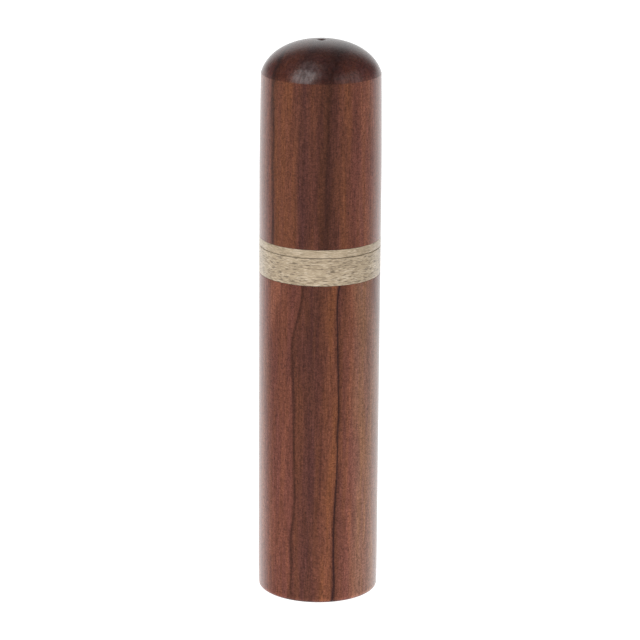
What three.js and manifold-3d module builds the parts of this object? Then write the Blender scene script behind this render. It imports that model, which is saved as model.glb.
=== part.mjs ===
// Turned hardwood pocket case with a short dip pen standing in it, nib up.
//
// The case is a rosewood body and a domed rosewood cap. Each carries a flush ring of pale wood at
// the joint. A pale tenon sleeve glued in the body guides the cap outside and the pen inside, so the
// open case is also the stand that holds the pen. The pen is a turned handle with a steel tube, a
// four-petal clip inside that tube and a curved steel nib.
//
// Millimetres, +Z up. The origin is the centre of the base, and every turned piece has its axis on Z.

import * as THREE from 'three';
import { mergeVertices } from 'three/addons/utils/BufferGeometryUtils.js';
import Module from 'manifold-3d';

// Driving dimensions of the case.
const OUTER_RADIUS = 13.0;
const COLLAR_BOTTOM = 71.2;
const SEAM = 77.2;
const CAP_RING_TOP = 79.0;
const CREASE = 114.4;
const APEX = 121.4;
const DOME_CENTRE = 112.0;
const DOME_FULLNESS = 2.15;
const BASE_ROUND = 0.6;
const CAP_EASE = 0.27;
const CAP_EASE_START = 92.0;
const CAP_EASE_POWER = 1.5;
const BASE_EASE = 0.1;
const BASE_EASE_END = 9.0;
const BASE_EASE_POWER = 2;
const SEAM_CHAMFER = 0.15;
const EDGE_BREAK = 0.02;
const BASE_RECESS_RADIUS = 9.0;
const BASE_RECESS_DEPTH = 0.5;

// Bores and the tenon between body and cap.
const TENON_RADIUS = 9.0;
const TENON_BOTTOM = 57.0;
const TENON_TOP = 84.5;
const TENON_CHAMFER = 0.6;
const CAP_CLEARANCE = 0.15;
const CAP_SHOULDER = 86.0;
const CAP_BORE_RADIUS = 8.2;
const CAP_BORE_ROUND = 111.5;
const CAP_BORE_TOP = 117.6;
const VENT_RADIUS = 0.5;
const PEN_BORE_RADIUS = 6.0;
const PEN_BORE_BOTTOM = 5.0;
const PAD_THICKNESS = 2.0;
const PAD_CLEARANCE = 0.1;

// The pen.
const HANDLE_BOTTOM = PEN_BORE_BOTTOM + PAD_THICKNESS;
const HANDLE_TOP = 90.0;
const HANDLE_RADIUS = 5.7;
const HANDLE_TIP_RADIUS = 4.4;
const HANDLE_TAPER_START = 60.0;
const HANDLE_BUTT_ROUND = 3.0;
const HANDLE_TIP_ROUND = 0.5;
const SOCKET_BOTTOM = 78.0;
const TUBE_OUTER_RADIUS = 3.5;
const TUBE_INNER_RADIUS = 3.05;
const TUBE_TOP = 91.5;
const TUBE_LIP = 0.12;
const CLIP_RADIUS = 2.45;
const CLIP_THICKNESS = 0.3;
const CLIP_TOP = 89.5;
const CLIP_BASE_GAP = 0.2;
const CLIP_BASE_THICKNESS = 0.5;
const CLIP_PETALS = 4;
const CLIP_PETAL_HALF_ANGLE = THREE.MathUtils.degToRad(27);
const NIB_RADIUS = 2.9;
const NIB_THICKNESS = 0.25;
const NIB_HALF_ANGLE = THREE.MathUtils.degToRad(86);
const NIB_BOTTOM = 80.5;
const NIB_SHOULDER = 99.0;
const NIB_TIP = 114.5;
const NIB_TIP_HALF_WIDTH = 0.22;
const NIB_HOLE = 101.5;
const NIB_HOLE_RADIUS = 0.55;
const NIB_SLIT_WIDTH = 0.12;

// How the nib's edge curves from shoulder to point, as shares of its radius and lengths along it.
const NIB_SHOULDER_PULL = 6.0;
const NIB_SHOULDER_SHARE = 0.75;
const NIB_POINT_SHARE = 0.3;

// How far a cutting solid runs past what it cuts.
const CUT_MARGIN = 1.0;

// Facets round a full turn. Every turned piece has the same count, so nested walls stay parallel.
const TURN_SEGMENTS = 40;
const DOME_STEPS = 10;
const EASE_STEPS = 4;
const BORE_END_STEPS = 6;
const ROUND_STEPS = 4;
const TAPER_STEPS = 6;
const TIP_STEPS = 2;
const NIB_CURVE_STEPS = 10;
const NIB_HOLE_SEGMENTS = 16;

const ROSEWOOD = { color: 0x6b4236, roughness: 0.42, metalness: 0.0 };
const PALE_WOOD = { color: 0xb29c80, roughness: 0.55, metalness: 0.0 };
const CORK = { color: 0xa9825a, roughness: 0.9, metalness: 0.0 };
const STEEL = { color: 0xb8b9ba, roughness: 0.3, metalness: 1.0 };
const NIB_STEEL = { color: 0xa9a49b, roughness: 0.25, metalness: 1.0 };

const wasm = await Module();
wasm.setup();

function piece(name, geometry, finish) {
  const mesh = new THREE.Mesh(geometry, new THREE.MeshStandardMaterial(finish));
  mesh.name = name;
  return mesh;
}

// A solid of revolution about Z, from [radius, height] points that run round its section.
function turned(outline) {
  const points = outline.map(([radius, height]) => new THREE.Vector2(radius, height));
  const geometry = new THREE.LatheGeometry(points, TURN_SEGMENTS);
  geometry.rotateX(Math.PI / 2);
  return geometry;
}

// A ring's section, closed on itself, with its own bevel at each outer corner.
function ringOutline(inner, outer, bottom, top, bottomBevel, topBevel) {
  return [
    [inner, bottom],
    [outer - bottomBevel, bottom],
    [outer, bottom + bottomBevel],
    [outer, top - topBevel],
    [outer - topBevel, top],
    [inner, top],
    [inner, bottom],
  ];
}

// Points of an ellipse about (centreRadius, centreHeight), from one angle to another.
function arcPoints(centreRadius, centreHeight, halfWidth, halfHeight, from, to, steps) {
  const points = [];
  for (let step = 0; step <= steps; step += 1) {
    const angle = from + ((to - from) * step) / steps;
    points.push([
      centreRadius + halfWidth * Math.cos(angle),
      centreHeight + halfHeight * Math.sin(angle),
    ]);
  }
  return points;
}

function toSolid(geometry) {
  const bare = geometry.clone();
  bare.deleteAttribute('normal');
  bare.deleteAttribute('uv');
  const merged = mergeVertices(bare);
  return new wasm.Manifold(new wasm.Mesh({
    numProp: 3,
    vertProperties: new Float32Array(merged.attributes.position.array),
    triVerts: new Uint32Array(merged.index.array),
  }));
}

function toGeometry(solid) {
  const mesh = solid.getMesh();
  const geometry = new THREE.BufferGeometry();
  geometry.setAttribute('position', new THREE.BufferAttribute(mesh.vertProperties, 3));
  geometry.setIndex(new THREE.BufferAttribute(mesh.triVerts, 1));
  geometry.computeVertexNormals();
  return geometry;
}

// A strip of tube wall standing on a given height, centred on the direction `middle`.
function tubeStrip(outer, thickness, middle, halfAngle, bottom, top) {
  const section = new THREE.Shape();
  section.absarc(0, 0, outer, middle - halfAngle, middle + halfAngle, false);
  section.absarc(0, 0, outer - thickness, middle + halfAngle, middle - halfAngle, true);
  section.closePath();
  const strip = new THREE.ExtrudeGeometry(section, {
    depth: top - bottom,
    bevelEnabled: false,
    curveSegments: NIB_CURVE_STEPS,
  });
  strip.translate(0, 0, bottom);
  return strip;
}

// The outside is very slightly barrelled: it eases in towards the crease and towards the base.
function sideRadius(height) {
  const capPart = Math.max(0, (height - CAP_EASE_START) / (CREASE - CAP_EASE_START));
  const basePart = Math.max(0, (BASE_EASE_END - height) / BASE_EASE_END);
  const capLoss = CAP_EASE * capPart ** CAP_EASE_POWER;
  const baseLoss = BASE_EASE * basePart ** BASE_EASE_POWER;
  return OUTER_RADIUS - capLoss - baseLoss;
}

function sidePoints(bottom, top) {
  const points = [];
  for (let step = 0; step <= EASE_STEPS; step += 1) {
    const height = bottom + ((top - bottom) * step) / EASE_STEPS;
    points.push([sideRadius(height), height]);
  }
  return points;
}

// The dome's outside from the crease to the vent: an ellipse made a little fuller at its shoulders.
function domePoints() {
  const power = 2 / DOME_FULLNESS;
  const domeHeight = APEX - DOME_CENTRE;
  const creaseAngle = Math.asin(((CREASE - DOME_CENTRE) / domeHeight) ** (1 / power));
  const domeWidth = sideRadius(CREASE) / Math.cos(creaseAngle) ** power;
  const ventAngle = Math.acos((VENT_RADIUS / domeWidth) ** (1 / power));
  const points = [];
  for (let step = 0; step <= DOME_STEPS; step += 1) {
    const angle = creaseAngle + ((ventAngle - creaseAngle) * step) / DOME_STEPS;
    points.push([domeWidth * Math.cos(angle) ** power, DOME_CENTRE + domeHeight * Math.sin(angle) ** power]);
  }
  return points;
}

// Body: a turned tube, bored for the pen and counterbored for the sleeve, standing on a rim.
function bodyShell() {
  const edge = arcPoints(
    sideRadius(BASE_ROUND) - BASE_ROUND, BASE_ROUND, BASE_ROUND, BASE_ROUND, -Math.PI / 2, 0, ROUND_STEPS,
  );
  return turned([
    [0, BASE_RECESS_DEPTH],
    [BASE_RECESS_RADIUS - BASE_RECESS_DEPTH, BASE_RECESS_DEPTH],
    [BASE_RECESS_RADIUS, 0],
    ...edge.slice(0, -1),
    ...sidePoints(BASE_ROUND, BASE_EASE_END),
    [OUTER_RADIUS, COLLAR_BOTTOM],
    [TENON_RADIUS, COLLAR_BOTTOM],
    [TENON_RADIUS, TENON_BOTTOM],
    [PEN_BORE_RADIUS, TENON_BOTTOM],
    [PEN_BORE_RADIUS, PEN_BORE_BOTTOM],
    [0, PEN_BORE_BOTTOM],
  ]);
}

function bodyCollar() {
  return turned(ringOutline(TENON_RADIUS, OUTER_RADIUS, COLLAR_BOTTOM, SEAM, EDGE_BREAK, SEAM_CHAMFER));
}

function tenonSleeve() {
  return turned([
    [PEN_BORE_RADIUS, TENON_BOTTOM],
    [TENON_RADIUS, TENON_BOTTOM],
    [TENON_RADIUS, TENON_TOP - TENON_CHAMFER],
    [TENON_RADIUS - TENON_CHAMFER, TENON_TOP],
    [PEN_BORE_RADIUS + TENON_CHAMFER, TENON_TOP],
    [PEN_BORE_RADIUS, TENON_TOP - TENON_CHAMFER],
    [PEN_BORE_RADIUS, TENON_BOTTOM],
  ]);
}

function restPad() {
  const radius = PEN_BORE_RADIUS - PAD_CLEARANCE;
  return turned([
    [0, PEN_BORE_BOTTOM],
    [radius, PEN_BORE_BOTTOM],
    [radius, PEN_BORE_BOTTOM + PAD_THICKNESS],
    [0, PEN_BORE_BOTTOM + PAD_THICKNESS],
  ]);
}

function capRing() {
  const inner = TENON_RADIUS + CAP_CLEARANCE;
  return turned(ringOutline(inner, OUTER_RADIUS, SEAM, CAP_RING_TOP, SEAM_CHAMFER, EDGE_BREAK));
}

// Cap: a low dome that meets the side at a crease, with a round-ended bore and a vent.
function capShell() {
  const boreEndHeight = CAP_BORE_TOP - CAP_BORE_ROUND;
  const boreVentAngle = Math.acos(VENT_RADIUS / CAP_BORE_RADIUS);
  const mouth = TENON_RADIUS + CAP_CLEARANCE;
  const boreEnd = arcPoints(
    0, CAP_BORE_ROUND, CAP_BORE_RADIUS, boreEndHeight, boreVentAngle, 0, BORE_END_STEPS,
  );
  return turned([
    [mouth, CAP_RING_TOP],
    [OUTER_RADIUS, CAP_RING_TOP],
    ...sidePoints(CAP_EASE_START, CREASE),
    ...domePoints().slice(1),
    ...boreEnd,
    [CAP_BORE_RADIUS, CAP_SHOULDER],
    [mouth, CAP_SHOULDER],
    [mouth, CAP_RING_TOP],
  ]);
}

// Handle: a rounded butt, a straight length that fits the bore, and a taper to the steel tube.
function penHandle() {
  const butt = arcPoints(
    HANDLE_RADIUS - HANDLE_BUTT_ROUND, HANDLE_BOTTOM + HANDLE_BUTT_ROUND,
    HANDLE_BUTT_ROUND, HANDLE_BUTT_ROUND, -Math.PI / 2, 0, ROUND_STEPS,
  );
  const tip = arcPoints(
    HANDLE_TIP_RADIUS - HANDLE_TIP_ROUND, HANDLE_TOP - HANDLE_TIP_ROUND,
    HANDLE_TIP_ROUND, HANDLE_TIP_ROUND, 0, Math.PI / 2, TIP_STEPS,
  );
  const taper = [];
  const taperEnd = HANDLE_TOP - HANDLE_TIP_ROUND;
  for (let step = 0; step < TAPER_STEPS; step += 1) {
    const part = step / TAPER_STEPS;
    const ease = (1 - Math.cos(Math.PI * part)) / 2;
    taper.push([
      HANDLE_RADIUS + (HANDLE_TIP_RADIUS - HANDLE_RADIUS) * ease,
      HANDLE_TAPER_START + (taperEnd - HANDLE_TAPER_START) * part,
    ]);
  }
  return turned([
    [0, HANDLE_BOTTOM],
    ...butt,
    ...taper,
    ...tip,
    [TUBE_OUTER_RADIUS, HANDLE_TOP],
    [TUBE_OUTER_RADIUS, SOCKET_BOTTOM],
    [0, SOCKET_BOTTOM],
  ]);
}

function ferruleTube() {
  return turned(ringOutline(
    TUBE_INNER_RADIUS, TUBE_OUTER_RADIUS, SOCKET_BOTTOM, TUBE_TOP, EDGE_BREAK, TUBE_LIP,
  ));
}

// Clip: a round foot with four springy petals, which press the nib's shank against the tube.
function nibClip() {
  const bottom = SOCKET_BOTTOM + CLIP_BASE_GAP;
  const foot = new THREE.CylinderGeometry(CLIP_RADIUS, CLIP_RADIUS, CLIP_BASE_THICKNESS, TURN_SEGMENTS);
  foot.rotateX(Math.PI / 2);
  foot.translate(0, 0, bottom + CLIP_BASE_THICKNESS / 2);
  let clip = toSolid(foot);
  for (let petal = 0; petal < CLIP_PETALS; petal += 1) {
    const middle = (petal * 2 * Math.PI) / CLIP_PETALS;
    const strip = tubeStrip(CLIP_RADIUS, CLIP_THICKNESS, middle, CLIP_PETAL_HALF_ANGLE, bottom, CLIP_TOP);
    clip = clip.add(toSolid(strip));
  }
  return toGeometry(clip);
}

// The nib seen from the front: a straight shank, then shoulders drawn in to a fine point.
function nibOutline() {
  const reach = NIB_RADIUS + CUT_MARGIN;
  const bottom = NIB_BOTTOM - CUT_MARGIN;
  const wide = NIB_RADIUS * NIB_SHOULDER_SHARE;
  const narrow = NIB_RADIUS * NIB_POINT_SHARE;
  const wideHeight = NIB_SHOULDER + NIB_SHOULDER_PULL;
  const narrowHeight = NIB_TIP - NIB_SHOULDER_PULL;
  const shape = new THREE.Shape();
  shape.moveTo(-reach, bottom);
  shape.lineTo(reach, bottom);
  shape.lineTo(reach, NIB_SHOULDER);
  shape.lineTo(NIB_RADIUS, NIB_SHOULDER);
  shape.bezierCurveTo(wide, wideHeight, narrow, narrowHeight, NIB_TIP_HALF_WIDTH, NIB_TIP);
  shape.lineTo(-NIB_TIP_HALF_WIDTH, NIB_TIP);
  shape.bezierCurveTo(-narrow, narrowHeight, -wide, wideHeight, -NIB_RADIUS, NIB_SHOULDER);
  shape.lineTo(-reach, NIB_SHOULDER);
  shape.closePath();
  return shape;
}

// Nib: half a tube wall cut to the outline, with a vent hole and a slit from there to the point.
function nib() {
  const front = -Math.PI / 2;
  const wallTop = NIB_TIP + CUT_MARGIN;
  const wall = tubeStrip(NIB_RADIUS, NIB_THICKNESS, front, NIB_HALF_ANGLE, NIB_BOTTOM, wallTop);
  const cutter = new THREE.ExtrudeGeometry(nibOutline(), {
    depth: NIB_RADIUS + CUT_MARGIN,
    bevelEnabled: false,
    curveSegments: NIB_CURVE_STEPS,
  });
  cutter.rotateX(Math.PI / 2);
  const hole = new THREE.CylinderGeometry(NIB_HOLE_RADIUS, NIB_HOLE_RADIUS, NIB_RADIUS, NIB_HOLE_SEGMENTS);
  hole.translate(0, -NIB_RADIUS, NIB_HOLE);
  const slitLength = wallTop - NIB_HOLE;
  const slit = new THREE.BoxGeometry(NIB_SLIT_WIDTH, NIB_RADIUS, slitLength);
  slit.translate(0, -NIB_RADIUS, NIB_HOLE + slitLength / 2);
  const cut = toSolid(wall).intersect(toSolid(cutter)).subtract(toSolid(hole)).subtract(toSolid(slit));
  return toGeometry(cut);
}

const penCase = new THREE.Group();
penCase.add(
  piece('body_shell', bodyShell(), ROSEWOOD),
  piece('body_collar', bodyCollar(), PALE_WOOD),
  piece('tenon_sleeve', tenonSleeve(), PALE_WOOD),
  piece('rest_pad', restPad(), CORK),
);

const cap = new THREE.Group();
cap.add(
  piece('cap_shell', capShell(), ROSEWOOD),
  piece('cap_ring', capRing(), PALE_WOOD),
);

const pen = new THREE.Group();
pen.add(
  piece('pen_handle', penHandle(), ROSEWOOD),
  piece('ferrule_tube', ferruleTube(), STEEL),
  piece('nib_clip', nibClip(), STEEL),
  piece('nib', nib(), NIB_STEEL),
);

const model = new THREE.Group();
model.add(penCase, cap, pen);

export default model;
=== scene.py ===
"""Looks of a turned wood pocket case with a short dip pen inside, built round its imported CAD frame.

The case's lengths are in millimetres, and MM turns them into metres. The floor, the lights and the
camera's clipping are in metres.
"""

import math

import bmesh
import bpy
from mathutils import Matrix, Vector


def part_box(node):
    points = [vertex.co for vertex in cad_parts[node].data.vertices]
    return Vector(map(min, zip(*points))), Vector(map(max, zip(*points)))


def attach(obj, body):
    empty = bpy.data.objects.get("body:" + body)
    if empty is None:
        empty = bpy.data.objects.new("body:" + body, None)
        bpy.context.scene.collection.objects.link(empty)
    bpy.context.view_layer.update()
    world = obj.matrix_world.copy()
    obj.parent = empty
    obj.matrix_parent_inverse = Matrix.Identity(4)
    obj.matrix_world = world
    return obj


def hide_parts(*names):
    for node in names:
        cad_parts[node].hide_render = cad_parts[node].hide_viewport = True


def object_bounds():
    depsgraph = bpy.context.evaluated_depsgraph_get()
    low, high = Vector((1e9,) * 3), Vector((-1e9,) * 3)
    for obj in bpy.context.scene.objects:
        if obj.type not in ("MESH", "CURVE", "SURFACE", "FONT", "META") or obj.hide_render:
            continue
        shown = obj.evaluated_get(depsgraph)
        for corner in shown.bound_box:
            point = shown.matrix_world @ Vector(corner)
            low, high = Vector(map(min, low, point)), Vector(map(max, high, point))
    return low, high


MM = 0.001

# Turned surfaces: facets round a full turn, and steps in an outline's arcs.
OUTER_SEGMENTS = 192
INNER_SEGMENTS = 96
ARC_STEPS = 6
DOME_STEPS = 40
EASE_STEPS = 16
SHARP_ANGLE = math.radians(34)
ON_AXIS = 1e-6

# Dimensions that the nodes' boxes don't give: the CAD's own, and small rounds, gaps and steps added to them.
BASE_ROUND = 0.6
BASE_ROUND_SPACING = 1.5
BASE_EASE = 0.1
BASE_EASE_END = 9.0
BASE_EASE_POWER = 2
CAP_EASE = 0.27
CAP_EASE_START = 92.0
CAP_EASE_POWER = 1.5
BASE_RECESS_RADIUS = 9.0
BASE_RECESS_DEPTH = 0.5
RECESS_FLOOR_ROUND = 0.3
RECESS_RIM_ROUND = 0.2
GLUE_LINE_ROUND = 0.07
SEAM_ROUND = 0.07
SEAM_GAP = 0.14
SEAM_DEPTH = 1.2
CREASE_ROUND = 0.35
VENT_RADIUS = 0.3
VENT_SINK_RADIUS = 0.85
VENT_SINK_DEPTH = 0.1
VENT_LIP = 0.12
DOME_CENTRE_BELOW_CREASE = 2.4
DOME_FULLNESS = 2.15
CAP_CLEARANCE = 0.15
CAP_SHOULDER_ABOVE_MOUTH = 7.0
CAP_BORE_RADIUS = 8.2
CAP_BORE_ROUND_BELOW_APEX = 9.9
CAP_WALL_AT_APEX = 3.8
CREASE_BELOW_APEX = 7.0
PEN_BORE_RADIUS = 6.0
TENON_ROUND = 0.6
PAD_ROUND = 0.3

# The pen's handle and its steel tube.
HANDLE_TAPER_START = 60.0
HANDLE_TAPER_END_BELOW_TOP = 0.6
HANDLE_TIP_RADIUS = 4.4
HANDLE_BUTT_ROUND = 2.6
HANDLE_TIP_ROUND = 0.5
TUBE_WALL = 0.45
TUBE_LIP_ROUND = 0.15

# The nib's clip.
CLIP_PETALS = 4
CLIP_PETAL_HALF_ANGLE = math.radians(27)
CLIP_PETAL_NARROWING = 0.35
CLIP_PETAL_STEPS = 8
CLIP_PETAL_COLUMNS = 6
CLIP_THICKNESS = 0.3
CLIP_FOOT_THICKNESS = 0.5

# The nib. Heights are above its bottom, and the flattening and draw-in start below its shoulder.
NIB_STEPS = 72
NIB_COLUMNS = 24
NIB_SHOULDER_HEIGHT = 18.0
NIB_FLATTENING_BELOW_SHOULDER = 6
NIB_DRAW_IN_BELOW_SHOULDER = 2
NIB_DRAW_IN_POWER = 1.25
NIB_SHANK_HALF_ANGLE = math.radians(86)
NIB_POINT_HALF_WIDTH = 0.14
NIB_RADIUS_GROWTH = 2.6
NIB_RIDGE_DROP = 0.45
NIB_THICKNESS = 0.25
NIB_THINNING = 0.1
NIB_HOLE_HEIGHT = 20.5
NIB_HOLE_RADIUS = 0.55
NIB_HOLE_SEGMENTS = 32
NIB_SLIT_HALF_WIDTH = 0.035

# The tools that cut the nib's hole and slit: their lengths, and their places along Y.
HOLE_CUTTER_HALF_LENGTH = 4
HOLE_CUTTER_MIDDLE = -3.5
SLIT_CUTTER_FRONT = -4.5
SLIT_CUTTER_BACK = -0.5
SLIT_CUTTER_PAST_POINT = 1

# Growth layers: how far each blank is turned, where along its length each piece is cut, and how far
# the layers wander, in radii.
BODY_LAYER_TURN = math.radians(10)
CAP_LAYER_TURN = math.radians(-17)
HANDLE_LAYER_TURN = math.radians(30)
CAP_BLANK_PLACE = 200
HANDLE_BLANK_PLACE = 400
SWAY_SIZE = 0.24
WAVER_SIZE = 0.20

# The body's layers draw together, as they climb, towards a place across its front, in radii.
TAPER_PIVOT = 0.35
BODY_TAPER = 0.27
BODY_TAPER_FROM = 56
BODY_TAPER_TO = 72

# The body is painted lighter towards its foot, as painted light from the floor, and its bottom edge carries
# a painted highlight.
FOOT_PAINTED_LIGHT = 1.3
FOOT_PAINTED_LIGHT_TOP = 70.0
FOOT_PAINTED_HIGHLIGHT = 1.5
FOOT_PAINTED_HIGHLIGHT_BOTTOM = 0.3
FOOT_PAINTED_HIGHLIGHT_TOP = 1.3

# Camera: where it stands from the case, in base radii, and how it is turned.
CAMERA_DISTANCE_RADII = 51.2
CAMERA_HEIGHT_RADII = 19.4
CAMERA_PITCH = math.radians(16.098)
CAMERA_ROLL = math.radians(0.44)
CAMERA_SIDE_STEP = 0.13
CAMERA_LENS = 181.05
CAMERA_SENSOR = 36.0

# Soft lights, as (name, azimuth and elevation in degrees, distance, width and height in metres, watts).
SOFTBOXES = (
    ("key_softbox", -38, 40, 1.0, 0.72, 0.8, 5.6),
    ("upper_softbox", -50, 74, 1.0, 0.55, 0.38, 0.5),
    ("fill_softbox", 62, 20, 1.0, 1.0, 1.0, 2.2),
)


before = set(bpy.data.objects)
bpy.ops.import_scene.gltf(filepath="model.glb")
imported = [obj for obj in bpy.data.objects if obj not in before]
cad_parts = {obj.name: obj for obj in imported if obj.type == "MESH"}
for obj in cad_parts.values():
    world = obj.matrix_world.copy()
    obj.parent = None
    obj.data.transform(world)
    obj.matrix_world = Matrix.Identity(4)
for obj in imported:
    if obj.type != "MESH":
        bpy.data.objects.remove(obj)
cad_low, cad_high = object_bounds()


def node_box(name):
    """A CAD node's radius across X, and its bottom and top heights, in millimetres."""
    low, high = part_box(name)
    return high.x / MM, low.z / MM, high.z / MM


BODY_RADIUS, BODY_BOTTOM, BODY_TOP = node_box("body_shell")
COLLAR_RADIUS, COLLAR_BOTTOM, SEAM = node_box("body_collar")
RING_RADIUS, RING_BOTTOM, RING_TOP = node_box("cap_ring")
CAP_RADIUS, CAP_BOTTOM, APEX = node_box("cap_shell")
TENON_RADIUS, TENON_BOTTOM, TENON_TOP = node_box("tenon_sleeve")
PAD_RADIUS, PAD_BOTTOM, PAD_TOP = node_box("rest_pad")
HANDLE_RADIUS, HANDLE_BOTTOM, HANDLE_TOP = node_box("pen_handle")
TUBE_RADIUS, TUBE_BOTTOM, TUBE_TOP = node_box("ferrule_tube")
CLIP_RADIUS, CLIP_BOTTOM, CLIP_TOP = node_box("nib_clip")
NIB_RADIUS, NIB_BOTTOM, NIB_TOP = node_box("nib")
CREASE = APEX - CREASE_BELOW_APEX
MOUTH_RADIUS = TENON_RADIUS + CAP_CLEARANCE


# Mesh building

def finished_object(name, vertices, faces):
    """A smooth-shaded closed mesh in metres from vertices in millimetres."""
    mesh = bpy.data.meshes.new(name)
    mesh.from_pydata([[value * MM for value in vertex] for vertex in vertices], [], faces)
    work = bmesh.new()
    work.from_mesh(mesh)
    bmesh.ops.recalc_face_normals(work, faces=work.faces)
    work.to_mesh(mesh)
    work.free()
    mesh.shade_smooth()
    mesh.set_sharp_from_angle(angle=SHARP_ANGLE)
    made = bpy.data.objects.new(name, mesh)
    bpy.context.scene.collection.objects.link(made)
    return made


def fillet(before, corner, after, radius):
    """Points of the arc that rounds one corner of an outline."""
    corner = Vector(corner)
    to_before = (Vector(before) - corner).normalized()
    to_after = (Vector(after) - corner).normalized()
    half_turn = to_before.angle(to_after) / 2
    reach = radius / math.tan(half_turn)
    centre = corner + (to_before + to_after).normalized() * (radius / math.sin(half_turn))
    start = corner + to_before * reach - centre
    end = corner + to_after * reach - centre
    sweep = start.angle_signed(end)
    points = []
    for step in range(ARC_STEPS + 1):
        angle = -sweep * step / ARC_STEPS
        turned = Matrix.Rotation(angle, 2) @ start
        points.append(tuple(centre + turned))
    return points


def rounded(corners, closed=True):
    """An outline from (radius, height, rounding) corners."""
    points = []
    count = len(corners)
    for index, (radius, height, rounding) in enumerate(corners):
        at_end = not closed and index in (0, count - 1)
        if rounding and not at_end:
            before = corners[index - 1][:2]
            after = corners[(index + 1) % count][:2]
            points += fillet(before, (radius, height), after, rounding)
        else:
            points.append((radius, height))
    return points


def turn(outline, closed, segments):
    """Vertices and faces of an outline turned about Z. An open outline starts and ends on the axis."""
    vertices = []
    rings = []
    for radius, height in outline:
        if radius < ON_AXIS:
            rings.append([len(vertices)] * segments)
            vertices.append((0.0, 0.0, height))
            continue
        rings.append(list(range(len(vertices), len(vertices) + segments)))
        for step in range(segments):
            angle = 2 * math.pi * step / segments
            vertices.append((radius * math.cos(angle), radius * math.sin(angle), height))
    faces = []
    pairs = list(zip(rings, rings[1:] + rings[:1]))
    for lower, upper in pairs if closed else pairs[:-1]:
        for step in range(segments):
            following = (step + 1) % segments
            corners = [lower[step], lower[following], upper[following], upper[step]]
            face = [corner for place, corner in enumerate(corners) if corner not in corners[:place]]
            faces.append(face)
    return vertices, faces


def turned_object(name, outline, closed=True, segments=OUTER_SEGMENTS):
    """A finished object from an outline turned about Z."""
    vertices, faces = turn(outline, closed, segments)
    return finished_object(name, vertices, faces)


def curved_plate(stations, columns, middle):
    """A closed plate bent round Z.

    A station is (height, radius, centre distance, half angle, thickness).
    """
    vertices = []
    for height, radius, centre, half_angle, thickness in stations:
        for depth in (0.0, thickness):
            for column in range(columns + 1):
                angle = middle - half_angle + 2 * half_angle * column / columns
                x = centre * math.cos(middle) + (radius - depth) * math.cos(angle)
                y = centre * math.sin(middle) + (radius - depth) * math.sin(angle)
                vertices.append((x, y, height))
    row = columns + 1
    faces = []

    def corner(station, inside, column):
        return (station * 2 + inside) * row + column

    for station in range(len(stations) - 1):
        for inside in (0, 1):
            for column in range(columns):
                faces.append([
                    corner(station, inside, column), corner(station, inside, column + 1),
                    corner(station + 1, inside, column + 1), corner(station + 1, inside, column),
                ])
        for column in (0, columns):
            faces.append([
                corner(station, 0, column), corner(station, 1, column),
                corner(station + 1, 1, column), corner(station + 1, 0, column),
            ])
    for station in (0, len(stations) - 1):
        for column in range(columns):
            faces.append([
                corner(station, 0, column), corner(station, 0, column + 1),
                corner(station, 1, column + 1), corner(station, 1, column),
            ])
    return vertices, faces


def joined(parts):
    """One list of vertices and faces from several."""
    vertices = []
    faces = []
    for part_vertices, part_faces in parts:
        start = len(vertices)
        vertices += part_vertices
        faces += [[start + index for index in face] for face in part_faces]
    return vertices, faces


def cut_away(target, cutters):
    """Subtracts each cutter object from the target and removes the cutters."""
    for cutter in cutters:
        cut = target.modifiers.new("cut", "BOOLEAN")
        cut.operation = "DIFFERENCE"
        cut.solver = "EXACT"
        cut.object = cutter
    graph = bpy.context.evaluated_depsgraph_get()
    mesh = bpy.data.meshes.new_from_object(target.evaluated_get(graph))
    target.modifiers.clear()
    target.data = mesh
    for cutter in cutters:
        bpy.data.objects.remove(cutter)


# The pieces

def side_radius(height):
    """The outside is very slightly barrelled: it eases in towards the crease and towards the base."""
    cap_part = max(0.0, (height - CAP_EASE_START) / (CREASE - CAP_EASE_START))
    base_part = max(0.0, (BASE_EASE_END - height) / BASE_EASE_END)
    cap_loss = CAP_EASE * cap_part ** CAP_EASE_POWER
    base_loss = BASE_EASE * base_part ** BASE_EASE_POWER
    return BODY_RADIUS - cap_loss - base_loss


def side_corners(bottom, top):
    """Corners, with no rounding, that follow the outside from one height to another."""
    corners = []
    for step in range(EASE_STEPS + 1):
        height = bottom + (top - bottom) * step / EASE_STEPS
        corners.append((side_radius(height), height, 0))
    return corners


def make_body_shell():
    """The long dark tube, with a recess under it and a bore that widens for the sleeve."""
    return turned_object("body_wood", rounded([
        (0, BASE_RECESS_DEPTH, 0),
        (BASE_RECESS_RADIUS - BASE_RECESS_DEPTH, BASE_RECESS_DEPTH, RECESS_FLOOR_ROUND),
        (BASE_RECESS_RADIUS, BODY_BOTTOM, RECESS_RIM_ROUND),
        (side_radius(BODY_BOTTOM), BODY_BOTTOM, BASE_ROUND),
        *side_corners(BODY_BOTTOM + BASE_ROUND * BASE_ROUND_SPACING, BASE_EASE_END),
        (BODY_RADIUS, BODY_TOP, GLUE_LINE_ROUND),
        (TENON_RADIUS, BODY_TOP, 0),
        (TENON_RADIUS, TENON_BOTTOM, 0),
        (PEN_BORE_RADIUS, TENON_BOTTOM, 0),
        (PEN_BORE_RADIUS, PAD_BOTTOM, 0),
        (0, PAD_BOTTOM, 0),
    ], closed=False), closed=False)


def make_collar():
    """The body's pale ring. Its top has an inner land for the cap and a fine step at the seam."""
    step_height = SEAM - SEAM_GAP / 2
    return turned_object("collar_wood", rounded([
        (TENON_RADIUS, COLLAR_BOTTOM, 0),
        (COLLAR_RADIUS, COLLAR_BOTTOM, GLUE_LINE_ROUND),
        (COLLAR_RADIUS, step_height, SEAM_ROUND),
        (COLLAR_RADIUS - SEAM_DEPTH, step_height, 0),
        (COLLAR_RADIUS - SEAM_DEPTH, SEAM, 0),
        (TENON_RADIUS, SEAM, 0),
    ]))


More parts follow.
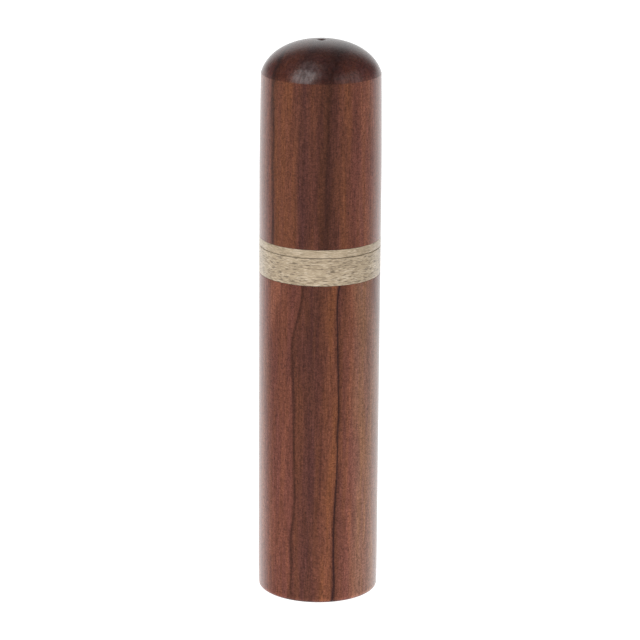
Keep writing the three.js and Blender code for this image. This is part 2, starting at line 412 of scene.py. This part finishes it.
def make_cap_ring():
    """The cap's pale ring, with the seam's other step at its mouth."""
    step_height = RING_BOTTOM + SEAM_GAP / 2
    return turned_object("ring_wood", rounded([
        (MOUTH_RADIUS, RING_BOTTOM, 0),
        (RING_RADIUS - SEAM_DEPTH, RING_BOTTOM, 0),
        (RING_RADIUS - SEAM_DEPTH, step_height, 0),
        (RING_RADIUS, step_height, SEAM_ROUND),
        (RING_RADIUS, RING_TOP, GLUE_LINE_ROUND),
        (MOUTH_RADIUS, RING_TOP, 0),
    ]))


def make_tenon_sleeve():
    """The pale sleeve that stands up out of the body and guides the cap."""
    return turned_object("tenon_wood", rounded([
        (PEN_BORE_RADIUS, TENON_BOTTOM, 0),
        (TENON_RADIUS, TENON_BOTTOM, 0),
        (TENON_RADIUS, TENON_TOP, TENON_ROUND),
        (PEN_BORE_RADIUS, TENON_TOP, TENON_ROUND),
    ]))


def dome_outline():
    """The dome's outline, from just above the crease to the lip of the vent's sink."""
    power = 2 / DOME_FULLNESS
    centre = CREASE - DOME_CENTRE_BELOW_CREASE
    height = APEX - centre
    crease_angle = math.asin((DOME_CENTRE_BELOW_CREASE / height) ** (1 / power))
    width = side_radius(CREASE) / math.cos(crease_angle) ** power
    vent_angle = math.acos(((VENT_SINK_RADIUS + VENT_LIP) / width) ** (1 / power))
    first_angle = crease_angle + CREASE_ROUND / width
    points = []
    for step in range(DOME_STEPS + 1):
        angle = first_angle + (vent_angle - first_angle) * step / DOME_STEPS
        points.append((width * math.cos(angle) ** power, centre + height * math.sin(angle) ** power))
    return points


def bore_end_outline():
    """The rounded end of the cap's bore, from the vent out to the bore's side."""
    bore_round = APEX - CAP_BORE_ROUND_BELOW_APEX
    bore_vent_angle = math.acos(VENT_RADIUS / CAP_BORE_RADIUS)
    bore_height = APEX - CAP_WALL_AT_APEX - bore_round
    steps = ARC_STEPS * 2
    points = []
    for step in range(steps + 1):
        angle = bore_vent_angle * (1 - step / steps)
        points.append((CAP_BORE_RADIUS * math.cos(angle), bore_round + bore_height * math.sin(angle)))
    return points


def make_cap_shell():
    """The domed cap: glue line, side, crease, dome, vent and the stepped bore inside."""
    dome = dome_outline()
    below_crease = CREASE - CREASE_ROUND
    crease_arc = fillet(
        (side_radius(below_crease), below_crease), (side_radius(CREASE), CREASE), dome[0], CREASE_ROUND,
    )
    outline = [(MOUTH_RADIUS, CAP_BOTTOM)]
    outline += fillet(
        (MOUTH_RADIUS, CAP_BOTTOM), (CAP_RADIUS, CAP_BOTTOM), (CAP_RADIUS, CREASE), GLUE_LINE_ROUND,
    )
    outline += [corner[:2] for corner in side_corners(CAP_EASE_START, below_crease)]
    outline += crease_arc
    outline += dome[1:]
    sink_top = dome[-1][1] - VENT_LIP / 2
    outline.append((VENT_SINK_RADIUS, sink_top))
    outline.append((VENT_RADIUS, sink_top - VENT_SINK_DEPTH))
    outline += bore_end_outline()
    shoulder = CAP_BOTTOM + CAP_SHOULDER_ABOVE_MOUTH
    outline += [(CAP_BORE_RADIUS, shoulder), (MOUTH_RADIUS, shoulder)]
    return turned_object("cap_wood", outline)


def make_rest_pad():
    """The cork disc that the pen stands on."""
    return turned_object("cork_pad", rounded([
        (0, PAD_BOTTOM, 0),
        (PAD_RADIUS, PAD_BOTTOM, 0),
        (PAD_RADIUS, PAD_TOP, PAD_ROUND),
        (0, PAD_TOP, 0),
    ], closed=False), closed=False, segments=INNER_SEGMENTS)


def make_pen_handle():
    """A rounded butt, a straight length and a taper to the steel tube."""
    taper_end = HANDLE_TOP - HANDLE_TAPER_END_BELOW_TOP
    outline = rounded([
        (0, HANDLE_BOTTOM, 0),
        (HANDLE_RADIUS, HANDLE_BOTTOM, HANDLE_BUTT_ROUND),
        (HANDLE_RADIUS, HANDLE_TAPER_START, 0),
    ], closed=False)
    for step in range(1, DOME_STEPS):
        part = step / DOME_STEPS
        ease = (1 - math.cos(math.pi * part)) / 2
        radius = HANDLE_RADIUS + (HANDLE_TIP_RADIUS - HANDLE_RADIUS) * ease
        outline.append((radius, HANDLE_TAPER_START + (taper_end - HANDLE_TAPER_START) * part))
    outline += fillet(
        outline[-1], (HANDLE_TIP_RADIUS, HANDLE_TOP), (TUBE_RADIUS, HANDLE_TOP), HANDLE_TIP_ROUND,
    )
    outline += [(TUBE_RADIUS, HANDLE_TOP), (TUBE_RADIUS, TUBE_BOTTOM), (0, TUBE_BOTTOM)]
    return turned_object("handle_wood", outline, closed=False, segments=INNER_SEGMENTS)


def make_ferrule_tube():
    """The steel tube in the handle's end, with rounded lips."""
    inner = TUBE_RADIUS - TUBE_WALL
    return turned_object("tube_steel", rounded([
        (inner, TUBE_BOTTOM, 0),
        (TUBE_RADIUS, TUBE_BOTTOM, 0),
        (TUBE_RADIUS, TUBE_TOP, TUBE_LIP_ROUND),
        (inner, TUBE_TOP, TUBE_LIP_ROUND),
    ]), segments=INNER_SEGMENTS)


def clip_petal(middle):
    """One petal of the clip, which narrows towards its tip."""
    stations = []
    for step in range(CLIP_PETAL_STEPS + 1):
        part = step / CLIP_PETAL_STEPS
        height = CLIP_BOTTOM + (CLIP_TOP - CLIP_BOTTOM) * part
        half_angle = CLIP_PETAL_HALF_ANGLE * (1 - CLIP_PETAL_NARROWING * part ** 3)
        stations.append((height, CLIP_RADIUS, 0.0, half_angle, CLIP_THICKNESS))
    return curved_plate(stations, CLIP_PETAL_COLUMNS, middle)


def make_nib_clip():
    """A round foot and four petals that narrow towards their tips."""
    foot_radius = CLIP_RADIUS - CLIP_THICKNESS
    foot = turn(rounded([
        (0, CLIP_BOTTOM, 0),
        (foot_radius, CLIP_BOTTOM, 0),
        (foot_radius, CLIP_BOTTOM + CLIP_FOOT_THICKNESS, 0),
        (0, CLIP_BOTTOM + CLIP_FOOT_THICKNESS, 0),
    ], closed=False), False, INNER_SEGMENTS)
    parts = [foot]
    for petal in range(CLIP_PETALS):
        parts.append(clip_petal(2 * math.pi * petal / CLIP_PETALS))
    vertices, faces = joined(parts)
    return finished_object("clip_steel", vertices, faces)


def smoothstep(low, high, value):
    """How far a value has climbed between two others, from 0 to 1 with soft ends."""
    part = min(max((value - low) / (high - low), 0.0), 1.0)
    return part * part * (3 - 2 * part)


def nib_station(height):
    """The nib's cross section at a height, as a station of a curved plate."""
    shoulder = NIB_BOTTOM + NIB_SHOULDER_HEIGHT
    shank_half_width = NIB_RADIUS * NIB_SHANK_HALF_ANGLE
    flattening = smoothstep(shoulder - NIB_FLATTENING_BELOW_SHOULDER, NIB_TOP, height)
    radius = NIB_RADIUS + NIB_RADIUS_GROWTH * flattening
    ridge = NIB_RADIUS - NIB_RIDGE_DROP * smoothstep(shoulder, NIB_TOP, height)
    past_start = max(height - shoulder + NIB_DRAW_IN_BELOW_SHOULDER, 0)
    draw_in = past_start / (NIB_TOP - shoulder + NIB_DRAW_IN_BELOW_SHOULDER)
    spare_width = (shank_half_width - NIB_POINT_HALF_WIDTH) * (1 - draw_in) ** NIB_DRAW_IN_POWER
    half_angle = (NIB_POINT_HALF_WIDTH + spare_width) / radius
    thickness = NIB_THICKNESS - NIB_THINNING * flattening
    return height, radius, ridge - radius, half_angle, thickness


def make_hole_cutter():
    """A rod that cuts the nib's vent hole, lying along Y."""
    half_length = HOLE_CUTTER_HALF_LENGTH
    outline = [
        (0, -half_length),
        (NIB_HOLE_RADIUS, -half_length),
        (NIB_HOLE_RADIUS, half_length),
        (0, half_length),
    ]
    vertices, faces = turn(outline, False, NIB_HOLE_SEGMENTS)
    hole = finished_object("hole_cutter", vertices, faces)
    place = Matrix.Translation((0, HOLE_CUTTER_MIDDLE * MM, (NIB_BOTTOM + NIB_HOLE_HEIGHT) * MM))
    hole.matrix_world = place @ Matrix.Rotation(math.pi / 2, 4, "X")
    return hole


def make_slit_cutter():
    """A thin box that cuts the nib's slit, from its vent hole past its point."""
    corners = [
        (x, y, z)
        for z in (NIB_BOTTOM + NIB_HOLE_HEIGHT, NIB_TOP + SLIT_CUTTER_PAST_POINT)
        for y in (SLIT_CUTTER_FRONT, SLIT_CUTTER_BACK)
        for x in (-NIB_SLIT_HALF_WIDTH, NIB_SLIT_HALF_WIDTH)
    ]
    faces = [[0, 1, 3, 2], [4, 5, 7, 6], [0, 1, 5, 4], [2, 3, 7, 6], [0, 2, 6, 4], [1, 3, 7, 5]]
    return finished_object("slit_cutter", corners, faces)


def make_nib():
    """A half-round shank that opens into flatter shoulders and draws in to a fine split point."""
    stations = []
    for step in range(NIB_STEPS + 1):
        part = step / NIB_STEPS
        stations.append(nib_station(NIB_BOTTOM + (NIB_TOP - NIB_BOTTOM) * part))
    front = -math.pi / 2
    vertices, faces = curved_plate(stations, NIB_COLUMNS, front)
    nib = finished_object("nib_steel", vertices, faces)
    cutters = [make_hole_cutter(), make_slit_cutter()]
    bpy.context.view_layer.update()
    cut_away(nib, cutters)
    return nib


# Node helpers

def colour(code):
    """Linear RGBA from an sRGB code such as "#6b4236"."""
    values = [int(code[place:place + 2], 16) / 255 for place in (1, 3, 5)]
    linear = [
        value / 12.92 if value <= 0.04045 else ((value + 0.055) / 1.055) ** 2.4
        for value in values
    ]
    return (*linear, 1.0)


def node(tree, kind, inputs=None, **settings):
    """A new node. An input is given a value or is linked to a socket."""
    made = tree.nodes.new(kind)
    for key, value in settings.items():
        setattr(made, key, value)
    for key, value in (inputs or {}).items():
        if isinstance(value, bpy.types.NodeSocket):
            tree.links.new(value, made.inputs[key])
        else:
            made.inputs[key].default_value = value
    return made


def calc(tree, operation, first, second=0.0, third=0.0):
    """One step of arithmetic."""
    made = node(tree, "ShaderNodeMath", {0: first, 1: second, 2: third}, operation=operation)
    return made.outputs[0]


def product(tree, values):
    """Several values multiplied together."""
    total = values[0]
    for value in values[1:]:
        total = calc(tree, "MULTIPLY", total, value)
    return total


def grey(tree, level):
    """A grey colour from one value."""
    return node(tree, "ShaderNodeCombineColor", {0: level, 1: level, 2: level}).outputs[0]


def blend_colour(tree, factor, first, second, mode="MIX"):
    """Two colours mixed by a factor."""
    made = node(
        tree, "ShaderNodeMix", {0: factor, 6: first, 7: second}, data_type="RGBA", blend_type=mode,
    )
    return made.outputs[2]


def ramp(tree, factor, stops):
    """A colour ramp. A stop is (place from 0 to 1, linear colour)."""
    made = node(tree, "ShaderNodeValToRGB", {0: factor})
    elements = made.color_ramp.elements
    while len(elements) < len(stops):
        elements.new(0.5)
    for element, (place, value) in zip(elements, stops):
        element.position = place
        element.color = value
    return made.outputs[0]


def span(tree, value, low, high, to_low=0.0, to_high=1.0):
    """A value carried from one range to another, held at the ends."""
    made = node(tree, "ShaderNodeMapRange", {0: value, 1: low, 2: high, 3: to_low, 4: to_high})
    made.interpolation_type = "SMOOTHSTEP"
    return made.outputs[0]


def noise(tree, place, scale, detail=2.0, roughness=0.5, distortion=0.0):
    """Smooth noise around 0.5."""
    made = node(tree, "ShaderNodeTexNoise", {
        "Vector": place,
        "Scale": scale,
        "Detail": detail,
        "Roughness": roughness,
        "Distortion": distortion,
    })
    return made.outputs[0]


def stretched(tree, place, scale, shift=(0.0, 0.0, 0.0)):
    """Coordinates scaled by a different amount along each axis."""
    made = node(tree, "ShaderNodeMapping", {"Vector": place, "Scale": scale, "Location": shift})
    return made.outputs[0]


def millimetres(tree):
    """The row frame's coordinates, in millimetres."""
    place = node(tree, "ShaderNodeTexCoord").outputs["Object"]
    return stretched(tree, place, (1 / MM, 1 / MM, 1 / MM))


def upward(tree):
    """How far a face looks up or down, from 0 on the sides to 1 on the ends."""
    normal = node(tree, "ShaderNodeTexCoord").outputs["Normal"]
    return calc(tree, "ABSOLUTE", node(tree, "ShaderNodeSeparateXYZ", {0: normal}).outputs[2])


def new_material(name):
    """A new material, with its node tree and its shader."""
    material = bpy.data.materials.new(name)
    material.use_nodes = True
    tree = material.node_tree
    shader = tree.nodes["Principled BSDF"]
    return material, tree, shader


def bump(tree, height, distance_mm):
    """A surface normal with fine relief."""
    made = node(tree, "ShaderNodeBump", {"Height": height, "Distance": distance_mm * MM, "Strength": 1.0})
    return made.outputs[0]


# Materials

# Rosewood's colours, from its pale edges to its ink-dark veins. The pale ones also serve as painted light on
# the right-hand side.
TAN = "#87604e"
CLAY = "#7a4b3d"
ORANGE = "#744632"
RUST = "#6c4130"
RUSSET = "#6c4034"
BROWN = "#5e382c"
PLUM = "#53322b"
DARK = "#442820"
INK = "#2c1a1b"
END_GRAIN_TINT = "#bca9b4"

# Bands of colour in a blank, as (place across its front in radii, colour). They are the wood's figure and
# also
# painted light: the right-hand bands are painted lighter and the left-hand ones darker, to even out the key
# light from the left.
BODY_BANDS = (
    (-0.985, CLAY), (-0.80, RUSSET), (-0.48, RUSSET), (-0.44, DARK), (-0.40, BROWN), (-0.15, PLUM),
    (0.00, BROWN), (0.20, ORANGE), (0.25, RUST), (0.28, INK), (0.31, BROWN), (0.50, CLAY),
    (0.70, TAN), (0.90, TAN), (1.00, RUST),
)
CAP_BANDS = (
    (-1.00, CLAY), (-0.80, RUSSET), (-0.75, DARK), (-0.70, RUST), (-0.45, RUST), (-0.30, PLUM),
    (-0.10, BROWN), (0.15, DARK), (0.30, BROWN), (0.40, RUST), (0.60, RUSSET), (0.70, CLAY),
)
HANDLE_BANDS = (
    (-1.00, RUSSET), (-0.50, PLUM), (-0.30, ORANGE), (0.00, RUST), (0.25, DARK), (0.32, INK),
    (0.45, RUST), (1.00, BROWN),
)


def satin_rim(tree, shader, weight, cover=1.0):
    """A clear coat that shows only at grazing angles, over whatever weight is given face on.

    Cover is how much of the polish is there at all.
    """
    facing = node(tree, "ShaderNodeLayerWeight", {"Blend": 0.5}).outputs["Facing"]
    rim = span(tree, facing, 0.33, 0.66, 0.0, 0.90)
    coat = calc(tree, "MULTIPLY", calc(tree, "MAXIMUM", rim, weight), cover)
    tree.links.new(coat, shader.inputs["Coat Weight"])
    shader.inputs["Coat IOR"].default_value = 1.5


def layer_place(front_place, layer_turn):
    """Where a place across the front, in radii, lies across the turned growth layers."""
    depth = math.sqrt(1 - front_place ** 2)
    return front_place * math.cos(layer_turn) - depth * math.sin(layer_turn)


def growth_layers(tree, place, radius, layer_turn):
    """How far across the layers a point lies, in radii, with a slow sway and a finer waver."""
    split = node(tree, "ShaderNodeSeparateXYZ", {0: place})
    sway = noise(tree, stretched(tree, place, (0.02, 0.02, 0.016)), 1.0, 1.0)
    waver = noise(tree, stretched(tree, place, (0.30, 0.30, 0.05)), 1.0, 2.0)
    across = calc(tree, "MULTIPLY", split.outputs[0], math.cos(layer_turn) / radius)
    across = calc(tree, "MULTIPLY_ADD", split.outputs[1], math.sin(layer_turn) / radius, across)
    across = calc(tree, "MULTIPLY_ADD", sway, SWAY_SIZE, across)
    across = calc(tree, "MULTIPLY_ADD", waver, WAVER_SIZE, across)
    return calc(tree, "SUBTRACT", across, (SWAY_SIZE + WAVER_SIZE) / 2)


def drawn_together(tree, across, height, layer_turn, taper, taper_from, taper_to):
    """The layers drawn together, towards a place right of the middle, as the grain climbs."""
    pivot = layer_place(TAPER_PIVOT, layer_turn)
    spread = span(tree, height, taper_from, taper_to, 1.0, 1.0 + taper)
    return calc(tree, "MULTIPLY_ADD", calc(tree, "SUBTRACT", across, pivot), spread, pivot)


def banded(tree, across, bands, layer_turn):
    """The bands' colours laid across the growth layers."""
    stops = [((layer_place(place, layer_turn) + 1) / 2, colour(code)) for place, code in bands]
    return ramp(tree, calc(tree, "MULTIPLY_ADD", across, 0.5, 0.5), stops)


def vent_polish(tree, own_place):
    """How much polish there is: full everywhere but in the vent's sink."""
    edge_half_width = 0.15
    flat_place = stretched(tree, own_place, (1, 1, 0))
    from_axis = node(tree, "ShaderNodeVectorMath", {0: flat_place}, operation="LENGTH").outputs["Value"]
    inner = VENT_SINK_RADIUS - edge_half_width
    outer = VENT_SINK_RADIUS + edge_half_width
    return span(tree, from_axis, inner, outer, 0.45, 1.0)


def rosewood(name, bands, radius, layer_turn, blank_place, taper=0.0, taper_from=0.0, taper_to=1.0,
             foot_painted_light=1.0, foot_painted_highlight=1.0):
    """Oiled striped rosewood: growth layers, streaks along the grain, pores, ripple and dark end grain.

    Taper draws the layers together as the grain climbs. Foot painted light is how much painted floor light
    lightens the wood towards the bottom, and foot painted highlight how bright a highlight is painted on its
    bottom edge.
    """
    material, tree, shader = new_material(name)
    own_place = millimetres(tree)
    place = stretched(tree, own_place, (1, 1, 1), (0, 0, blank_place))
    height = node(tree, "ShaderNodeSeparateXYZ", {0: own_place}).outputs[2]
    across = growth_layers(tree, place, radius, layer_turn)
    across = drawn_together(tree, across, height, layer_turn, taper, taper_from, taper_to)
    figure = banded(tree, across, bands, layer_turn)

    broad = noise(tree, stretched(tree, place, (0.7, 0.7, 0.05), (5, 0, 0)), 1.0, 2.0)
    streaks = noise(tree, stretched(tree, place, (1.9, 1.9, 0.09)), 1.0, 3.0, 0.6)
    fibres = noise(tree, stretched(tree, place, (4.2, 4.2, 0.5)), 1.0, 3.0, 0.65)
    ripple = noise(tree, stretched(tree, place, (2.2, 2.2, 3.0)), 1.0, 4.0, 0.8, 1.0)
    shade = product(tree, (
        span(tree, broad, 0.32, 0.68, 0.85, 0.99),
        span(tree, streaks, 0.32, 0.68, 0.86, 1.14),
        span(tree, fibres, 0.3, 0.7, 0.84, 1.16),
        span(tree, ripple, 0.33, 0.67, 0.60, 1.40),
        # Painted light: the wood is painted lighter towards the foot, in place of the floor's light.
        span(tree, height, 0.0, FOOT_PAINTED_LIGHT_TOP, foot_painted_light, 1.0),
        # Painted highlight: a lighter line painted along the bottom edge, in place of the floor's light on
        # the bevel.
        span(tree, height, FOOT_PAINTED_HIGHLIGHT_BOTTOM, FOOT_PAINTED_HIGHLIGHT_TOP, foot_painted_highlight, 1.0),
    ))
    warmth = span(tree, broad, 0.35, 0.65, 1.10, 0.90)
    blue = calc(tree, "MULTIPLY", shade, warmth)
    lit = node(tree, "ShaderNodeCombineColor", {0: shade, 1: shade, 2: blue}).outputs[0]
    wood = blend_colour(tree, 1.0, figure, lit, "MULTIPLY")

    pores = noise(tree, stretched(tree, place, (6.0, 6.0, 0.9), (3, 7, 0)), 1.0, 1.0, 0.4)
    pore_mask = span(tree, pores, 0.62, 0.70)
    wood = blend_colour(tree, calc(tree, "MULTIPLY", pore_mask, 0.5), wood, colour(INK))
    end_grain = span(tree, upward(tree), 0.10, 0.40)
    wood = blend_colour(tree, end_grain, wood, colour(END_GRAIN_TINT), "MULTIPLY")
    tree.links.new(wood, shader.inputs["Base Color"])

    roughness = span(tree, fibres, 0.2, 0.8, 0.38, 0.26)
    roughness = calc(tree, "MULTIPLY_ADD", pore_mask, 0.2, roughness)
    tree.links.new(roughness, shader.inputs["Roughness"])
    relief = calc(tree, "MULTIPLY_ADD", pore_mask, -1.0, calc(tree, "MULTIPLY", fibres, 0.4))
    tree.links.new(bump(tree, relief, 0.02), shader.inputs["Normal"])
    shader.inputs["Specular IOR Level"].default_value = 0.05
    shader.inputs["Coat Roughness"].default_value = 0.24
    gloss = span(tree, streaks, 0.36, 0.64, 0.45, 1.0)
    satin_rim(tree, shader, calc(tree, "MULTIPLY", end_grain, gloss), vent_polish(tree, own_place))
    return material


def pale_wood(name, seed, grain_axes, fleck_strength):
    """Waxed pale wood with short dark flecks along its grain, which runs along one or two axes."""
    material, tree, shader = new_material(name)
    along = 0.65
    cross = 4.4
    scale = tuple(along if axis in grain_axes else cross for axis in "XYZ")
    place = stretched(tree, millimetres(tree), (1, 1, 1), (seed, seed, seed))
    clouds = noise(tree, stretched(tree, place, (0.22, 0.22, 0.5)), 1.0, 2.0)
    fibres = noise(tree, stretched(tree, place, tuple(value * 1.5 for value in scale)), 1.0, 3.0, 0.65)
    flecks = noise(tree, stretched(tree, place, scale, (2, 5, 9)), 1.0, 2.0, 0.6)
    tone = calc(tree, "MULTIPLY_ADD", fibres, 0.7, calc(tree, "MULTIPLY_ADD", clouds, 0.24, 0.12))
    wood = ramp(tree, tone, [
        (0.42, colour("#8c7c65")), (0.60, colour("#b09e85")), (0.76, colour("#d0c1ab")),
    ])
    side_only = span(tree, upward(tree), 0.3, 0.7, 1.0, 0.3)
    fleck_mask = calc(tree, "MULTIPLY", span(tree, flecks, 0.50, 0.66), side_only)
    wood = blend_colour(tree, calc(tree, "MULTIPLY", fleck_mask, fleck_strength), wood, colour("#4d4032"))
    tree.links.new(wood, shader.inputs["Base Color"])
    tree.links.new(span(tree, fibres, 0.2, 0.8, 0.62, 0.42), shader.inputs["Roughness"])
    relief = calc(tree, "MULTIPLY_ADD", fleck_mask, -0.8, calc(tree, "MULTIPLY", fibres, 0.5))
    tree.links.new(bump(tree, relief, 0.03), shader.inputs["Normal"])
    shader.inputs["Specular IOR Level"].default_value = 0.2
    shader.inputs["Coat Roughness"].default_value = 0.35
    satin_rim(tree, shader, 0.0)
    return material


def cork(name):
    """Pressed cork: packed grains of different browns with dark gaps."""
    material, tree, shader = new_material(name)
    place = millimetres(tree)
    grains = node(tree, "ShaderNodeTexVoronoi", {"Vector": place, "Scale": 1.4})
    edges = node(tree, "ShaderNodeTexVoronoi", {"Vector": place, "Scale": 1.4}, feature="DISTANCE_TO_EDGE")
    tint = node(tree, "ShaderNodeSeparateColor", {0: grains.outputs["Color"]}).outputs[0]
    fine = noise(tree, place, 4.0, 3.0)
    tone = calc(tree, "MULTIPLY_ADD", fine, 0.4, calc(tree, "MULTIPLY", tint, 0.6))
    body = ramp(tree, tone, [
        (0.1, colour("#7b5636")), (0.5, colour("#a87e54")), (0.9, colour("#c9a278")),
    ])
    gap = span(tree, edges.outputs["Distance"], 0.0, 0.08, 1.0, 0.0)
    body = blend_colour(tree, calc(tree, "MULTIPLY", gap, 0.7), body, colour("#3b2718"))
    tree.links.new(body, shader.inputs["Base Color"])
    tree.links.new(span(tree, fine, 0.2, 0.8, 0.95, 0.8), shader.inputs["Roughness"])
    tree.links.new(bump(tree, calc(tree, "SUBTRACT", fine, gap), 0.1), shader.inputs["Normal"])
    return material


def steel(name, tint, low_roughness, high_roughness, along):
    """Drawn steel: fine lines along one axis, with a few rubbed patches."""
    material, tree, shader = new_material(name)
    place = millimetres(tree)
    scale = tuple(0.4 if axis == along else 14.0 for axis in "XYZ")
    lines = noise(tree, stretched(tree, place, scale), 1.0, 3.0, 0.6)
    patches = noise(tree, place, 0.45, 3.0)
    shade = calc(tree, "MULTIPLY_ADD", lines, 0.18, calc(tree, "MULTIPLY_ADD", patches, 0.22, 0.8))
    metal = blend_colour(tree, 1.0, colour(tint), grey(tree, shade), "MULTIPLY")
    tree.links.new(metal, shader.inputs["Base Color"])
    wear = calc(tree, "MULTIPLY_ADD", lines, 0.5, calc(tree, "MULTIPLY", patches, 0.5))
    tree.links.new(span(tree, wear, 0.3, 0.7, low_roughness, high_roughness), shader.inputs["Roughness"])
    tree.links.new(bump(tree, lines, 0.006), shader.inputs["Normal"])
    shader.inputs["Metallic"].default_value = 1.0
    return material


# The stage

def make_camera():
    """A long lens, well above the case and in front of it, aimed down at it."""
    data = bpy.data.cameras.new("camera")
    data.lens = CAMERA_LENS
    data.sensor_width = CAMERA_SENSOR
    data.clip_start = 0.05
    data.clip_end = 20.0
    camera = bpy.data.objects.new("camera", data)
    bpy.context.scene.collection.objects.link(camera)
    distance = CAMERA_DISTANCE_RADII * BODY_RADIUS
    height = CAMERA_HEIGHT_RADII * BODY_RADIUS
    place = Vector((CAMERA_SIDE_STEP, -distance, height)) * MM
    tilt = Matrix.Rotation(math.pi / 2 - CAMERA_PITCH, 4, "X")
    camera.matrix_world = Matrix.Translation(place) @ tilt @ Matrix.Rotation(CAMERA_ROLL, 4, "Z")
    bpy.context.scene.camera = camera


def make_floor():
    """A plain pale floor that gives off some light of its own."""
    size = 6.0
    below_case = 0.0001
    mesh = bpy.data.meshes.new("floor")
    corners = [(-size, -size, 0), (size, -size, 0), (size, size, 0), (-size, size, 0)]
    mesh.from_pydata(corners, [], [[0, 1, 2, 3]])
    floor = bpy.data.objects.new("floor", mesh)
    bpy.context.scene.collection.objects.link(floor)
    floor.location.z = cad_low.z - below_case
    material, tree, shader = new_material("floor")
    place = node(tree, "ShaderNodeTexCoord").outputs["Object"]
    speckle = noise(tree, place, 50.0, 2.0)
    tree.links.new(span(tree, speckle, 0.3, 0.7, 0.9, 0.8), shader.inputs["Roughness"])
    shader.inputs["Base Color"].default_value = (0.4, 0.4, 0.4, 1)
    shader.inputs["Emission Color"].default_value = (1, 1, 1, 1)
    shader.inputs["Emission Strength"].default_value = 1.05
    shader.inputs["Specular IOR Level"].default_value = 0.0
    mesh.materials.append(material)


def make_world():
    """A white horizon, a bright panel behind the case and a dim room above."""
    world = bpy.data.worlds.new("tent")
    bpy.context.scene.world = world
    world.use_nodes = True
    tree = world.node_tree
    direction = node(tree, "ShaderNodeTexCoord").outputs["Generated"]
    split = node(tree, "ShaderNodeSeparateXYZ", {0: direction})
    horizon = span(tree, split.outputs[2], 0.06, 0.22, 1.0, 0.0)
    behind = span(tree, split.outputs[1], 0.56, 0.90)
    sideways = calc(tree, "ABSOLUTE", split.outputs[0])
    panel = calc(tree, "MULTIPLY", behind, span(tree, sideways, 0.35, 0.75, 1.0, 0.0))
    level = calc(tree, "MAXIMUM", horizon, calc(tree, "MULTIPLY_ADD", panel, 0.75, 0.18))
    background = tree.nodes["Background"]
    tree.links.new(grey(tree, level), background.inputs["Color"])
    background.inputs["Strength"].default_value = 1.0


def make_softbox(name, azimuth, elevation, distance, width, height, watts):
    """An area light aimed at the middle of the case. Azimuth 0 stands at the camera's side."""
    data = bpy.data.lights.new(name, "AREA")
    data.shape = "RECTANGLE"
    data.size = width
    data.size_y = height
    data.energy = watts
    light = bpy.data.objects.new(name, data)
    bpy.context.scene.collection.objects.link(light)
    turn_angle = math.radians(azimuth)
    rise = math.radians(elevation)
    away = Vector((
        math.sin(turn_angle) * math.cos(rise), -math.cos(turn_angle) * math.cos(rise), math.sin(rise),
    ))
    middle = (cad_low + cad_high) / 2
    light.location = middle + away * distance
    light.rotation_mode = "QUATERNION"
    light.rotation_quaternion = away.to_track_quat("Z", "Y")


# Assembly

make_camera()
make_floor()
make_world()
for softbox in SOFTBOXES:
    make_softbox(*softbox)

body_wood = rosewood(
    "rosewood_body", BODY_BANDS, BODY_RADIUS, BODY_LAYER_TURN, 0,
    BODY_TAPER, BODY_TAPER_FROM, BODY_TAPER_TO, FOOT_PAINTED_LIGHT, FOOT_PAINTED_HIGHLIGHT,
)
cap_wood = rosewood("rosewood_cap", CAP_BANDS, CAP_RADIUS, CAP_LAYER_TURN, CAP_BLANK_PLACE)
handle_wood = rosewood(
    "rosewood_handle", HANDLE_BANDS, HANDLE_RADIUS, HANDLE_LAYER_TURN, HANDLE_BLANK_PLACE,
)
collar_wood = pale_wood("pale_wood_collar", 0, "XY", 0.70)
tenon_wood = pale_wood("pale_wood_tenon", 31, "Z", 0.5)
ring_wood = pale_wood("pale_wood_ring", 67, "XY", 0.35)
tube_metal = steel("tube_steel", "#b4b5b8", 0.25, 0.42, "Z")
clip_metal = steel("clip_steel", "#a5a6a9", 0.3, 0.5, "Z")
nib_metal = steel("nib_steel", "#9f9a90", 0.14, 0.32, "Z")

# Each piece, the CAD node that it replaces, its body, its slot and its material.
PIECES = (
    (make_body_shell(), "body_shell", "case", "rosewood_body", body_wood),
    (make_collar(), "body_collar", "case", "pale_wood_collar", collar_wood),
    (make_tenon_sleeve(), "tenon_sleeve", "case", "pale_wood_tenon", tenon_wood),
    (make_rest_pad(), "rest_pad", "case", "cork", cork("cork")),
    (make_cap_shell(), "cap_shell", "cap", "rosewood_cap", cap_wood),
    (make_cap_ring(), "cap_ring", "cap", "pale_wood_ring", ring_wood),
    (make_pen_handle(), "pen_handle", "pen", "rosewood_handle", handle_wood),
    (make_ferrule_tube(), "ferrule_tube", "pen", "tube_steel", tube_metal),
    (make_nib_clip(), "nib_clip", "pen", "clip_steel", clip_metal),
    (make_nib(), "nib", "pen", "nib_steel", nib_metal),
)
for made, cad_node, body, slot, material in PIECES:
    made.data.materials.clear()
    made.data.materials.append(material)
    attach(made, body)
    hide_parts(cad_node)

bpy.context.scene.view_settings.view_transform = "Standard"
